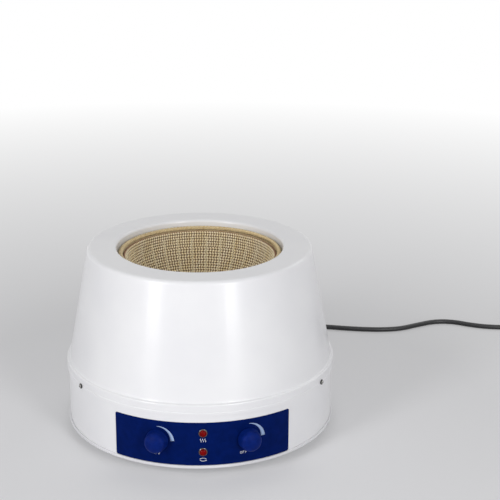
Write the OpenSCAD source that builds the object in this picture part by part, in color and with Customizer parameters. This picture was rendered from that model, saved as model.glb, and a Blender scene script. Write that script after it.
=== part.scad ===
// Magnetic stirring heating mantle for a round two-litre flask.
// Origin: on the axis, on the surface the feet stand on. The control panel faces -Y.

/* [Housing] */
// Outer radius of the base shell
base_r = 153.3; // [150:0.1:190]
// Height of the base shell, from the bottom plate to the top of its flange
base_h = 71.9; // [66:0.1:100]
// Thickness of the housing sheet
sheet_t = 1.5; // [1:0.1:2]
// How far the upper housing hangs down over the base shell
skirt_drop = 11.4; // [11:0.1:20]
// Width of the ledge between the skirt and the cone
ledge_w = 3.1; // [3:0.1:8]
// Height of the cone, from the ledge to the top
cone_h = 129.2; // [112:0.1:170]
// Lean of the cone from upright, in degrees
cone_lean = 10.57; // [6:0.01:12]
// Radius of the rounded shoulder
shoulder_r = 5; // [3:0.5:10]
// Radius of the round mouth
mouth_r = 94.5; // [94:0.5:97]
// Radius of the rolled lip
lip_r = 3.5; // [3:0.5:7]
// Height of the upturned edge of the bottom plate
plate_lip_h = 3.5; // [2.5:0.5:6]
// Width of the shell's inward flanges
flange_w = 13; // [12:1:18]

/* [Basket] */
// Inner radius of the heating basket
basket_r = 84.5; // [70:0.5:84.5]
// Depth of the basket's centre below the top of the housing
basket_sink = 9.1; // [9:0.1:12]
// Radius of one row of heating cord
row_r = 1.9; // [1.7:0.1:2]
// Spacing of the rows along the bowl
row_pitch = 3.2; // [2.8:0.1:3.4]
// Number of lacing threads
lacing_count = 30; // [12:2:36]
// Radius of a lacing thread
lacing_r = 0.5; // [0.3:0.1:0.6]
// Radius of the hem rope
hem_r = 2.5; // [2:0.1:2.5]
// Thickness of the glass-cloth liner
liner_t = 2.25; // [1:0.05:3]
// Thickness of the insulation
insulation_t = 9; // [6:0.5:14]
// Thickness of the inner bowl's sheet
bowl_t = 1.2; // [0.8:0.1:2]
// Width of the inner bowl's flange
bowl_flange_w = 12; // [12:0.5:15]

/* [Controls] */
// Height of the panel film
panel_h = 50.2; // [45:0.1:56]
// Half of the angle that the panel film covers, in degrees
panel_half_angle = 37.85; // [30:0.05:50]
// Gap between the bottom plate's lip and the panel film
panel_gap = 0.3; // [0.2:0.1:4]
// Thickness of the panel film
film_t = 0.5; // [0.3:0.1:1]
// Corner radius of the panel film
film_corner_r = 2; // [1:0.5:6]
// Angle between the panel's middle and a knob, in degrees
knob_angle = 18.5; // [12:0.1:26]
// Height of the knobs above the panel's middle
knob_rise = 2.6; // [-4:0.1:6]
// Radius of a knob at its foot
knob_r = 12.5; // [11:0.5:16]
// Height of a knob
knob_h = 15; // [14:0.5:20]
// Radius of a potentiometer's spindle
spindle_r = 3; // [2.5:0.5:3.5]
// Distance between the two lamps
lamp_pitch = 22.2; // [16:0.1:26]
// Height of the lamps' middle above the panel's middle
lamp_rise = 2; // [-3:0.1:4]
// Radius of a lamp's lens
lens_r = 3.9; // [3:0.1:4.2]

/* [Stirrer] */
// Radius of the stirrer motor
motor_r = 30; // [25:1:36]
// Length of the stirrer motor
motor_h = 42; // [30:1:46]
// Radius of the motor shaft
shaft_r = 3; // [2:0.5:4]
// Distance between the two magnets
magnet_span = 52; // [40:1:60]
// Radius of a magnet
magnet_r = 6; // [4:0.5:7]

/* [Feet and fasteners] */
// Height of a foot below the bottom plate
foot_h = 10; // [8:1:20]
// Radius of a foot
foot_r = 12; // [11:1:16]
// Distance of the feet from the axis
foot_circle_r = 118; // [100:1:130]
// Radius of the larger screws
m4_r = 2; // [1.5:0.5:2]
// Radius of the smaller screws
m3_r = 1.5; // [1:0.5:1.5]
// Radius of a housing screw's head
housing_head_r = 2.9; // [2.6:0.1:3]

/* [Rear fittings] */
// Height of the fittings at the back
rear_z = 32; // [26:1:50]
// Angle from the back's middle to the fuse holder, in degrees
fuse_angle = 25; // [15:1:40]
// Length of the cord's strain relief
boot_len = 33.7; // [20:0.1:45]
// Radius of the mains cord
cord_r = 3.25; // [3:0.05:3.5]

/* [Hidden] */
$fn = 96;

// Clearances
touch = 0.02;    // between pieces that are screwed or pushed together
hole_fit = 0.2;  // around a screw in a plain hole
run_fit = 0.05;  // around a turning shaft
cut = 1;         // how far a cutting body runs past what it cuts

// Levels
plate_z = foot_h;
floor_z = plate_z + sheet_t;
flange_z = floor_z + base_h;
ledge_z = flange_z + sheet_t;
top_z = ledge_z + cone_h;
skirt_z = flange_z - skirt_drop;
divider_z = flange_z;
divider_top = divider_z + sheet_t;

// Radii of the upper housing
skirt_in_r = base_r + run_fit;
skirt_r = skirt_in_r + sheet_t;
cone_foot_r = skirt_r - ledge_w;
wall_w = sheet_t / cos(cone_lean);
function cone_r(z) = cone_foot_r - (z - ledge_z) * tan(cone_lean);

// Basket
bowl_z = top_z - basket_sink;
row_mid_r = basket_r + row_r;
row_step = row_pitch / row_mid_r * 180 / PI;
row_first = 87.4;
row_last_r = row_r + 0.5;
row_count = floor((row_first - asin(row_last_r / row_mid_r)) / row_step) + 1;
liner_in = row_mid_r + row_r + touch;
liner_out = liner_in + liner_t;
insul_in = liner_out + touch;
insul_out = insul_in + insulation_t;
bowl_in = insul_out + touch;
bowl_out = bowl_in + bowl_t;
hem_mid_r = mouth_r - hem_r - 1.7;
hem_z = bowl_z + 0.3;
bowl_rim_z = hem_z - hem_r - touch;
collar_z = bowl_rim_z + 0.3;
rod_circle_r = bowl_out + bowl_flange_w / 2;

// Panel
panel_z = floor_z - sheet_t + plate_lip_h + panel_gap;
panel_mid = panel_z + panel_h / 2;
film_in_r = base_r + touch;
film_r = film_in_r + film_t;
knob_z = panel_mid + knob_rise;
lamp_z = panel_mid + lamp_rise;
shell_in_r = base_r - sheet_t;

// Potentiometer, from its can outwards along its own axis
pot_can_r = 12;
pot_can_h = 11;
bush_r = 4.5;
bush_len = 9;
pot_face = sqrt(pow(shell_in_r, 2) - pow(pot_can_r, 2)) - touch;
bush_end = pot_face + bush_len;
washer_t = 0.8;
pot_nut_t = 2.5;
washer_back = film_r + touch;
nut_back = washer_back + washer_t + touch;
knob_back = film_r + 0.8;
knob_recess_r = 9.3;
knob_recess = bush_end + 0.9 - knob_back;
spindle_end = knob_back + knob_h - 2.6;
spindle_flat = 1.5;
bezel_back = film_r + touch;
bezel_t = 1.2;
bezel_body_r = lens_r + 0.7;
bezel_r = lens_r + 1;

// Stirrer
boss_r = 8;
boss_z = divider_top + 1.5;
shaft_bore_depth = 14;
arm_z = boss_z + 2;
arm_h = 8;
arm_w = 15;
hub_r = 9;
hub_h = 11;
motor_screw_r = 21;
set_screw_r = 0.8;

// Screws
m4_head_r = 3.9;
m4_head_h = 2.6;
m4_nut_r = 4.04;
m4_nut_h = 3.2;
m3_head_r = 2.8;
m3_head_h = 2;
m3_nut_r = 3.2;
m3_nut_h = 2.4;
flange_screw_r = shell_in_r - 5;
divider_screw_r = cone_foot_r - wall_w - 5.4;
divider_r = cone_foot_r - wall_w - 1.5;
housing_screw_z = skirt_z + housing_head_r + 0.1;
housing_screw_angles = [60, 180, 300];

// Electronics on the bottom plate
board_w = 96;
board_d = 62;
board_y = 74;
board_lift = 10;
board_t = 1.6;
standoff_r = 3.2;
board_z = floor_z + board_lift;

// Fuse holder and gland
fuse_r = 6;
fuse_flange_r = 8.6;
fuse_flange_h = 2;
gland_r = 6;
gland_flange_r = 9;
gland_flange_h = 4;
gland_tip = base_r + gland_flange_h + boot_len;

// Mains cord: it falls to the table and runs along it to a coil. The route starts at the gland's tip.
function fall(share) = cord_r + (rear_z - cord_r) * share;
route = [
    [0, 0, rear_z], [0, 5, rear_z], [0, 12, rear_z], [3, 25, fall(0.9)], [9, 38, fall(0.7)],
    [19, 50, fall(0.45)], [32, 60, fall(0.2)], [48, 69, fall(0.06)], [67, 75, cord_r],
    [88, 79, cord_r], [116, 81, cord_r], [146, 80, cord_r], [176, 77, cord_r],
    [206, 70, cord_r], [236, 65, cord_r], [258, 64, cord_r], [280, 67, cord_r],
    [308, 80, cord_r], [334, 90, cord_r], [358, 88, cord_r], [378, 78, cord_r],
    [398, 70, cord_r], [420, 66, cord_r], [442, 64, cord_r], [464, 63, cord_r]
];
coil_at = [490, gland_tip + 111];
coil_turn_r = [27, 46.5];
coil_layers = 2;
coil_start = -95;
tail_turn_r = 37.2;
tail = [
    [0, 0, 0], [0, -12, 0], [0, -24, 0], [0.5, -36, 0.7], [1, -46, 1.8], [1, -52, 2.25],
    [1, -58, 2.25]
];
tube_sides = 10;
ring_gap = 5 * cord_r;
coil_h = coil_layers * 2 * cord_r;
tail_start = [coil_at[0] - tail_turn_r, coil_at[1], coil_h - cord_r];
plug_at = tail_start + tail[len(tail) - 1];
plug_half_w = 12.5;
plug_body_len = 24;
plug_boot_len = 20;

// ---- Shared shapes ----

// Points of an arc, from angle a to angle b
function arc(c, r, a, b, n = 8) =
    [for (i = [0:n]) let (t = a + (b - a) * i / n) c + r * [cos(t), sin(t)]];

// Places its children on the shell: +Z points outwards, angle 0 is the front
module outward(angle, z) {
    rotate([0, 0, angle]) translate([0, 0, z]) rotate([90, 0, 0]) children();
}

module around(count, r, first = 0) {
    for (i = [0:count - 1]) rotate([0, 0, first + i * 360 / count]) translate([r, 0, 0]) children();
}

// A disc with a hole, from height 0 to h
module washer(r, hole, h) {
    difference() {
        cylinder(r = r, h = h);
        translate([0, 0, -cut]) cylinder(r = hole, h = h + 2 * cut);
    }
}

module hex_nut(r, hole, h) {
    difference() {
        cylinder(r = r, h = h, $fn = 6);
        translate([0, 0, -cut]) cylinder(r = hole, h = h + 2 * cut);
    }
}

// Half outline of a low dome that is rim high at its edge
module dome_outline(r, h, rim) {
    rise = h - rim;
    dome_r = (r * r + rise * rise) / (2 * rise);
    intersection() {
        square([r, h]);
        translate([0, h - dome_r]) circle(dome_r);
    }
}

// A pan-head screw: the head stands on height 0, the shank goes down
module pan_screw(r, len, head_r, head_h) {
    difference() {
        union() {
            rotate_extrude() dome_outline(head_r, head_h, head_h * 0.5);
            translate([0, 0, -len]) cylinder(r = r, h = len + head_h * 0.4);
        }
        for (a = [0, 90]) rotate([0, 0, a])
            translate([-r, -0.35, head_h * 0.55]) cube([2 * r, 0.7, head_h]);
    }
}

// A tube swept along a route, closed at both ends
function unit(v) = v / norm(v);
function along(path, i, t) =
    let (
        last = len(path) - 1,
        a = path[max(i - 1, 0)], b = path[i], c = path[min(i + 1, last)], d = path[min(i + 2, last)]
    )
    0.5 * (2 * b + (c - a) * t + (2 * a - 5 * b + 4 * c - d) * t * t + (3 * b - a - 3 * c + d) * t * t * t);
function smooth(path, gap) = [
    for (i = [0:len(path) - 2])
        let (n = max(1, round(norm(path[i + 1] - path[i]) / gap)))
        for (k = [0:n - 1]) along(path, i, k / n),
    path[len(path) - 1]
];
function tangent(path, i) = unit(path[min(i + 1, len(path) - 1)] - path[max(i - 1, 0)]);

module tube(path, r, sides) {
    line = smooth(path, ring_gap);
    n = len(line);
    points = [
        for (i = [0:n - 1])
            let (t = tangent(line, i), side = unit(cross(t, [0, 0, 1])), up = cross(side, t))
            for (k = [0:sides - 1])
                line[i] + r * (cos(k * 360 / sides) * side + sin(k * 360 / sides) * up)
    ];
    faces = [
        [for (k = [0:sides - 1]) k],
        for (i = [0:n - 2]) for (k = [0:sides - 1])
            let (a = i * sides, b = a + sides, m = (k + 1) % sides) [a + k, b + k, b + m, a + m],
        [for (k = [sides - 1:-1:0]) (n - 1) * sides + k]
    ];
    polyhedron(points, faces);
}

// ---- Housing ----

module upper_housing() {
    groove_z = skirt_z + 4;
    round_r = 1.7;
    shoulder_mid = [cone_r(top_z - shoulder_r * (1 - sin(cone_lean))) - shoulder_r * cos(cone_lean),
        top_z - shoulder_r];
    lip_mid = [mouth_r + lip_r, top_z - lip_r];
    outline = concat(
        [[skirt_in_r, skirt_z], [skirt_r, skirt_z], [skirt_r, groove_z - 0.5],
            [skirt_r - 0.4, groove_z], [skirt_r, groove_z + 0.5]],
        arc([skirt_r - round_r, ledge_z - round_r], round_r, 0, 90),
        [[cone_foot_r + 0.9, ledge_z + 0.1], [cone_foot_r + 0.2, ledge_z + 0.5],
            [cone_r(ledge_z + 1.4), ledge_z + 1.4]],
        arc(shoulder_mid, shoulder_r, cone_lean, 90),
        arc(lip_mid, lip_r, 90, 180, 12),
        [[mouth_r, collar_z], [mouth_r + sheet_t, collar_z]],
        arc(lip_mid, lip_r - sheet_t, 180, 90, 12),
        arc(shoulder_mid, shoulder_r - sheet_t, 90, cone_lean),
        [[cone_r(flange_z) - wall_w, flange_z], [skirt_in_r, flange_z]]
    );
    color("white") difference() {
        rotate_extrude($fn = 180) polygon(outline);
        for (a = housing_screw_angles) outward(a, housing_screw_z)
            translate([0, 0, base_r - cut]) cylinder(r = m3_r + hole_fit, h = sheet_t + 3 * cut);
    }
}

module base_shell() {
    bend_r = 2.5;
    bottom = [base_r - bend_r, floor_z + bend_r];
    top = [base_r - 1.6, flange_z - 1.6];
    inner = base_r - flange_w;
    outline = concat(
        [[inner, floor_z]],
        arc(bottom, bend_r, -90, 0),
        arc(top, 1.6, 0, 90, 4),
        [[inner, flange_z], [inner, flange_z - sheet_t], [shell_in_r, flange_z - sheet_t]],
        arc(bottom, bend_r - sheet_t, 0, -90),
        [[inner, floor_z + sheet_t]]
    );
    color("white") difference() {
        rotate_extrude($fn = 180) polygon(outline);
        for (side = [-1, 1]) shell_hole(side * knob_angle, knob_z, bush_r);
        for (side = [-1, 1]) shell_hole(0, lamp_z + side * lamp_pitch / 2, bezel_body_r);
        for (a = housing_screw_angles) shell_hole(a, housing_screw_z, m3_r);
        shell_hole(180, rear_z, gland_r);
        shell_hole(180 + fuse_angle, rear_z, fuse_r);
        around(4, flange_screw_r) screw_hole(m4_r, floor_z);
        around(4, divider_screw_r, 45) screw_hole(m4_r, flange_z - sheet_t);
    }
}

module shell_hole(angle, z, r) {
    outward(angle, z) translate([0, 0, shell_in_r - cut - 2]) cylinder(r = r + hole_fit, h = 8);
}

// A plain hole for a screw through a flat sheet whose underside is at z
module screw_hole(r, z) {
    translate([0, 0, z - cut]) cylinder(r = r + hole_fit, h = 2 * sheet_t + 2 * cut);
}

module bottom_plate() {
    lip_in = base_r + 0.1;
    lip_out = lip_in + sheet_t + 0.1;
    slot_r = 52;
    slot_len = 38;
    slot_w = 4;
    slot_count = 16;
    half_step = 180 / slot_count;
    color("gainsboro") difference() {
        rotate_extrude($fn = 180) polygon(concat(
            [[0, plate_z]],
            arc([lip_out - 1, plate_z + 1], 1, -90, 0, 4),
            arc([lip_out - 0.7, plate_z + plate_lip_h - 0.7], 0.7, 0, 90, 4),
            [[lip_in, plate_z + plate_lip_h], [lip_in, floor_z], [0, floor_z]]
        ));
        around(slot_count, slot_r, half_step) translate([0, 0, plate_z - cut]) {
            for (x = [0, slot_len]) translate([x, 0, 0]) cylinder(r = slot_w / 2, h = sheet_t + 2 * cut);
            translate([0, -slot_w / 2, 0]) cube([slot_len, slot_w, sheet_t + 2 * cut]);
        }
        around(4, flange_screw_r) screw_hole(m4_r, plate_z);
        around(4, foot_circle_r, 45) screw_hole(m4_r, plate_z);
        board_corners() screw_hole(m3_r, plate_z);
    }
}

module divider_plate() {
    color("silver") difference() {
        translate([0, 0, divider_z]) cylinder(r = divider_r, h = sheet_t, $fn = 180);
        screw_hole(boss_r, divider_z);
        around(4, divider_screw_r, 45) screw_hole(m4_r, divider_z);
        around(4, rod_circle_r) screw_hole(m4_r, divider_z);
        around(4, motor_screw_r, 45) screw_hole(m3_r, divider_z);
    }
}

// ---- Basket ----

// Half section of a bowl wall between two spheres, open at the top
module bowl_wall(inner, outer, rim_z) {
    intersection() {
        difference() {
            translate([0, bowl_z]) circle(outer);
            translate([0, bowl_z]) circle(inner);
        }
        translate([0, bowl_z - outer - cut]) square([outer + cut, rim_z - bowl_z + outer + cut]);
    }
}

module inner_bowl() {
    color("silver") difference() {
        rotate_extrude($fn = 144) union() {
            bowl_wall(bowl_in, bowl_out, bowl_rim_z);
            translate([bowl_in + bowl_t / 2, bowl_rim_z - bowl_t]) square([bowl_flange_w, bowl_t]);
        }
        around(4, rod_circle_r) screw_hole(m4_r, bowl_rim_z - bowl_t);
    }
}

module insulation() {
    color("ivory") rotate_extrude($fn = 120) bowl_wall(insul_in, insul_out, bowl_rim_z);
}

module basket_liner() {
    color("wheat") rotate_extrude($fn = 120) bowl_wall(liner_in, liner_out, bowl_rim_z);
}

// Direction from the bowl's centre to row k, and the direction along the bowl towards the rim
function row_out(k) = let (a = row_first - k * row_step) [sin(a), -cos(a)];
function row_up(k) = [-row_out(k)[1], row_out(k)[0]];

// Rows of heating cord, each a ring that presses into its neighbours
module heating_basket() {
    half = asin(row_pitch / 2 / row_r);
    steps = 4;
    centre = [0, bowl_z];
    outer = row_mid_r + row_r;
    crests = [
        for (k = [0:row_count - 1]) for (i = [0:steps - 1])
            let (a = half * (1 - 2 * (i + 0.5) / steps))
            centre + (row_mid_r - row_r * cos(a)) * row_out(k) + row_r * sin(a) * row_up(k)
    ];
    pole_z = crests[len(crests) - 1][1];
    outline = concat(
        crests,
        [[0, pole_z]],
        arc(centre, outer, -90, row_first + row_step / 2 - 90, 24)
    );
    color("goldenrod") rotate_extrude($fn = 120) polygon(outline);
}

module basket_lacing() {
    color("khaki") around(lacing_count, 0)
        translate([0, 0, bowl_z]) rotate([90, 0, 0])
            rotate_extrude(start = -82, angle = 79, $fn = 120)
                translate([basket_r - lacing_r - touch, 0]) circle(lacing_r, $fn = 16);
}

module basket_hem() {
    color("goldenrod") translate([0, 0, hem_z])
        rotate_extrude($fn = 120) translate([hem_mid_r, 0]) circle(hem_r, $fn = 32);
}

module tie_rods() {
    low = divider_z - m4_nut_h - 2;
    color("silver") around(4, rod_circle_r)
        translate([0, 0, low]) cylinder(r = m4_r, h = bowl_rim_z + m4_nut_h + 2 - low);
}

module rod_nuts() {
    levels = [divider_z - m4_nut_h, divider_top, bowl_rim_z - bowl_t - m4_nut_h, bowl_rim_z];
    color("silver") for (z = levels) around(4, rod_circle_r)
        translate([0, 0, z]) hex_nut(m4_nut_r, m4_r + touch, m4_nut_h);
}

// ---- Fasteners and feet ----

module housing_screws() {
    color("silver") for (a = housing_screw_angles) outward(a, housing_screw_z)
        translate([0, 0, skirt_r + touch]) pan_screw(m3_r, sheet_t * 2 + 5, housing_head_r, 2.2);
}

module housing_nuts() {
    flat_r = sqrt(pow(shell_in_r, 2) - pow(m3_nut_r, 2)) - touch;
    color("silver") for (a = housing_screw_angles) outward(a, housing_screw_z)
        translate([0, 0, flat_r - m3_nut_h]) hex_nut(m3_nut_r, m3_r + touch, m3_nut_h);
}

module divider_screws() {
    color("silver") around(4, divider_screw_r, 45)
        translate([0, 0, divider_top]) pan_screw(m4_r, sheet_t * 2 + 5, m4_head_r, m4_head_h);
}

module divider_nuts() {
    color("silver") around(4, divider_screw_r, 45)
        translate([0, 0, flange_z - sheet_t - m4_nut_h]) hex_nut(m4_nut_r, m4_r + touch, m4_nut_h);
}

module base_screws() {
    color("silver") around(4, flange_screw_r)
        translate([0, 0, plate_z]) mirror([0, 0, 1]) pan_screw(m4_r, sheet_t * 2 + 5, m4_head_r, m4_head_h);
}

module base_nuts() {
    color("silver") around(4, flange_screw_r)
        translate([0, 0, floor_z + sheet_t]) hex_nut(m4_nut_r, m4_r + touch, m4_nut_h);
}

module rubber_feet() {
    pocket_h = foot_h - 3.5;
    color("dimgray") around(4, foot_circle_r, 45) difference() {
        rotate_extrude() polygon(concat(
            [[0, 0], [foot_r - 2.5, 0]],
            arc([foot_r - 2.5, 1], 1, -90, -10, 4),
            [[foot_r, plate_z], [0, plate_z]]
        ));
        translate([0, 0, -cut]) cylinder(r = m4_r + hole_fit, h = foot_h + 2 * cut);
        translate([0, 0, -cut]) cylinder(r = m4_head_r + 0.6, h = pocket_h + cut);
    }
}

module foot_screws() {
    seat = foot_h - 3.5;
    color("silver") around(4, foot_circle_r, 45)
        translate([0, 0, seat]) mirror([0, 0, 1]) pan_screw(m4_r, 3.5 + sheet_t + 5, m4_head_r, m4_head_h);
}

module foot_nuts() {
    color("silver") around(4, foot_circle_r, 45)
        translate([0, 0, floor_z]) hex_nut(m4_nut_r, m4_r + touch, m4_nut_h);
}

// ---- Controls ----

module panel_overlay() {
    color("midnightblue") difference() {
        rotate_extrude(start = 270 - panel_half_angle, angle = 2 * panel_half_angle, $fn = 180)
            translate([film_in_r, panel_z]) square([film_t, panel_h]);
        for (side = [-1, 1]) for (up = [-1, 1]) film_corner(side, up);
        for (side = [-1, 1]) shell_hole(side * knob_angle, knob_z, bush_r);
        for (side = [-1, 1]) shell_hole(0, lamp_z + side * lamp_pitch / 2, bezel_body_r);
    }
}

// What is cut off a corner of the film to make it round: the curve's ends run past the edges
module film_corner(side, up) {
    r = film_corner_r;
    corner = concat(
        [[cut, cut], [-r - cut, cut], [-r - cut, cut / 5]],
        arc([-r, -r], r, 75, 15, 4),
        [[cut / 5, -r - cut], [cut, -r - cut]]
    );
    outward(side * panel_half_angle, panel_mid + up * panel_h / 2)
        translate([0, 0, base_r - cut]) linear_extrude(film_t + 3 * cut)
            polygon([for (p = corner) [side * p[0], up * p[1]]]);
}

// A rectangle with round corners, given by half its width and height
module rounded_rect(half_w, half_h, r) {
    square([2 * half_w - 2 * r, 2 * half_h], center = true);
    square([2 * half_w, 2 * half_h - 2 * r], center = true);
    for (x = [-1, 1]) for (y = [-1, 1])
        translate([x * (half_w - r), y * (half_h - r)]) circle(r, $fn = 32);
}

module potentiometer(angle) {
    tag_w = 2;
    bore_end = pot_face - pot_can_h + 3;
    color("darkgray") outward(angle, knob_z) difference() {
        union() {
            translate([0, 0, pot_face - pot_can_h]) cylinder(r = pot_can_r, h = pot_can_h);
            cylinder_between(bush_r, pot_face - cut, bush_end);
            for (x = [-5, 0, 5])
                translate([x - tag_w / 2, -pot_can_r - 6, pot_face - 4]) cube([tag_w, 8, 0.8]);
        }
        cylinder_between(spindle_r + run_fit, bore_end, bush_end + cut);
    }
}

module cylinder_between(r, low, high) {
    translate([0, 0, low]) cylinder(r = r, h = high - low);
}

module heat_pot() { potentiometer(-knob_angle); }
module stir_pot() { potentiometer(knob_angle); }

module pot_washers() {
    color("silver") for (side = [-1, 1]) outward(side * knob_angle, knob_z)
        translate([0, 0, washer_back]) washer(7, bush_r + touch, washer_t);
}

module pot_nuts() {
    color("silver") for (side = [-1, 1]) outward(side * knob_angle, knob_z)
        translate([0, 0, nut_back]) hex_nut(7, bush_r + touch, pot_nut_t);
}

// A spindle's end, or with a fit the hole for it: round with one flat
module flatted(r, low, high, flat_from) {
    difference() {
        cylinder_between(r, low, high);
        translate([-r, r - spindle_flat, flat_from])
            cube([2 * r, 2 * spindle_flat, high - flat_from + cut]);
    }
}

module spindle(angle) {
    color("silver") outward(angle, knob_z)
        flatted(spindle_r, pot_face - pot_can_h + 3.3, spindle_end, bush_end + 0.5);
}

module heat_spindle() { spindle(-knob_angle); }
module stir_spindle() { spindle(knob_angle); }

// A domed knob, hollow at the back to clear the nut
module knob(angle) {
    edge_r = 6;
    front_r = knob_r - 0.7;
    rise = 1.3;
    outline = concat(
        [[0, 0], [knob_r - 0.5, 0], [knob_r, 0.5]],
        arc([front_r - edge_r, knob_h - rise - edge_r], edge_r, 0, 65, 8),
        dome_points(front_r - edge_r * (1 - cos(65)), knob_h, rise + edge_r * (1 - sin(65)))
    );
    color("midnightblue") outward(angle, knob_z) difference() {
        translate([0, 0, knob_back]) rotate_extrude() polygon(outline);
        translate([0, 0, knob_back - cut]) cylinder(r = knob_recess_r, h = knob_recess + cut);
        flatted(spindle_r + touch, knob_back, spindle_end + 0.1, knob_back);
    }
}

// Points of a shallow dome from its edge to the axis
function dome_points(r, h, rise) =
    let (dome_r = (r * r + rise * rise) / (2 * rise), half = asin(r / dome_r))
    arc([0, h - dome_r], dome_r, 90 - half, 90, 6);

module heat_knob() { knob(-knob_angle); }
module stir_knob() { knob(knob_angle); }

module lamp(side) {
    color("crimson") outward(0, lamp_z + side * lamp_pitch / 2) {
        cylinder_between(lens_r, shell_in_r - 6, bezel_back + bezel_t);
        translate([0, 0, bezel_back + bezel_t]) rotate_extrude() dome_outline(lens_r, 2.4, 0.4);
    }
}

module heat_lamp() { lamp(1); }
module stir_lamp() { lamp(-1); }

module lamp_bezels() {
    color("silver") for (side = [-1, 1]) outward(0, lamp_z + side * lamp_pitch / 2) difference() {
        union() {
            translate([0, 0, bezel_back]) rotate_extrude() polygon(concat(
                [[0, 0], [bezel_r, 0]],
                arc([bezel_r - 0.7, 0.5], 0.7, 0, 90, 4),
                [[0, bezel_t]]
            ));
            cylinder_between(bezel_body_r, shell_in_r - 5, bezel_back + 0.5);
        }
        cylinder_between(lens_r + touch, shell_in_r - 6, bezel_back + bezel_t + cut);
    }
}

module lamp_nuts() {
    nut_r = 6;
    nut_h = 2.2;
    face = sqrt(pow(shell_in_r, 2) - pow(nut_r, 2)) - touch;
    color("silver") for (side = [-1, 1]) outward(0, lamp_z + side * lamp_pitch / 2)
        translate([0, 0, face - nut_h]) hex_nut(nut_r, bezel_body_r + touch, nut_h);
}

// ---- Stirrer ----

module stirrer_motor() {
    can_z = divider_z - motor_h;
    rim_r = 2;
    color("darkgray") difference() {
        union() {
            rotate_extrude() polygon(concat(
                [[0, can_z]],
                arc([motor_r - rim_r, can_z + rim_r], rim_r, -90, 0, 4),
                [[motor_r, divider_z], [0, divider_z]]
            ));
            cylinder_between(boss_r, divider_z - cut, boss_z);
            cylinder_between(boss_r, can_z - 3, can_z + cut);
        }
        cylinder_between(shaft_r + run_fit, boss_z - shaft_bore_depth, boss_z + cut);
        around(4, motor_screw_r, 45) cylinder_between(m3_r + touch, divider_z - 7, divider_z + cut);
    }
}

module motor_screws() {
    color("silver") around(4, motor_screw_r, 45)
        translate([0, 0, divider_top]) pan_screw(m3_r, sheet_t + 6, m3_head_r, m3_head_h);
}

module motor_shaft() {
    color("silver") cylinder_between(shaft_r, boss_z - shaft_bore_depth + 0.3, arm_z + hub_h - 0.5);
}

module magnet_arm() {
    half = magnet_span / 2;
    color("silver") difference() {
        union() {
            cylinder_between(hub_r, arm_z, arm_z + hub_h);
            translate([-half, -arm_w / 2, arm_z]) cube([magnet_span, arm_w, arm_h]);
            for (x = [-half, half]) translate([x, 0, arm_z]) cylinder(r = arm_w / 2, h = arm_h);
        }
        cylinder_between(shaft_r + touch, arm_z - cut, arm_z + hub_h + cut);
        for (x = [-half, half]) translate([x, 0, arm_z + 2]) cylinder(r = magnet_r + touch, h = arm_h);
        set_screw_place() cylinder_between(set_screw_r, shaft_r, hub_r + cut);
    }
}

module magnets() {
    color("dimgray") for (x = [-1, 1])
        translate([x * magnet_span / 2, 0, arm_z + 2]) cylinder(r = magnet_r, h = arm_h);
}

module set_screw_place() {
    translate([0, 0, arm_z + hub_h - 1.5]) rotate([90, 0, 0]) children();
}

module arm_set_screw() {
    color("silver") set_screw_place() cylinder_between(set_screw_r - touch, shaft_r + 2 * touch, hub_r);
}

// ---- Electronics ----

module board_corners() {
    for (x = [-1, 1]) for (y = [-1, 1])
        translate([x * (board_w / 2 - 5), board_y + y * (board_d / 2 - 5), 0]) children();
}

module circuit_board() {
    color("darkgreen") difference() {
        translate([-board_w / 2, board_y - board_d / 2, board_z]) cube([board_w, board_d, board_t]);
        board_corners() translate([0, 0, board_z - cut]) cylinder(r = m3_r + hole_fit, h = 4);
    }
}

module board_standoffs() {
    color("ivory") board_corners() translate([0, 0, floor_z]) washer(standoff_r, m3_r + touch, board_lift);
}

module board_screws() {
    color("silver") board_corners() {
        translate([0, 0, board_z + board_t]) pan_screw(m3_r, 5, m3_head_r, m3_head_h);
        translate([0, 0, plate_z]) mirror([0, 0, 1]) pan_screw(m3_r, 5, m3_head_r, m3_head_h);
    }
}

// Relay, fuse block, capacitors and the row of connector blocks
module board_parts() {
    top = board_z + board_t + touch;
    color("darkslategray") {
        translate([-38, board_y - 14, top]) cube([19, 15, 15]);
        translate([-14, board_y - 16, top]) cube([26, 9, 8]);
        for (x = [22, 34]) translate([x, board_y - 12, top]) cylinder(r = 5, h = 16);
        for (x = [-30:10:30]) translate([x - 4, board_y + 16, top]) cube([8, 10, 11]);
    }
}

module heat_sink() {
    fins = 7;
    fin_t = 1.4;
    pitch = 6;
    body_t = 3;
    top = board_z + board_t + touch;
    w = (fins - 1) * pitch + fin_t;
    color("silver") translate([0, board_y + 1, top]) linear_extrude(24) {
        translate([-w / 2, 0]) square([w, body_t]);
        for (i = [0:fins - 1]) translate([-w / 2 + i * pitch, 0]) square([fin_t, 12]);
    }
}

module terminal_block() {
    ways = 4;
    pitch = 12;
    color("ivory") translate([-92, 8, floor_z]) difference() {
        union() {
            cube([22, ways * pitch, 8]);
            for (i = [0:ways - 1]) translate([3, i * pitch + 1.5, 0]) cube([16, pitch - 3, 17]);
        }
        for (i = [0:ways - 1]) for (x = [7, 15])
            translate([x, (i + 0.5) * pitch, 9]) cylinder(r = 2.4, h = 10);
    }
}

// ---- Rear fittings ----

module fuse_holder() {
    length = 34;
    color("black") outward(180 + fuse_angle, rear_z) difference() {
        union() {
            cylinder_between(fuse_r, base_r - length, base_r + 1);
            translate([0, 0, base_r + touch]) rotate_extrude()
                dome_outline(fuse_flange_r, fuse_flange_h, 1.2);
        }
        cylinder_between(fuse_r - 2, base_r - 12, base_r + fuse_flange_h + cut);
    }
}

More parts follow.
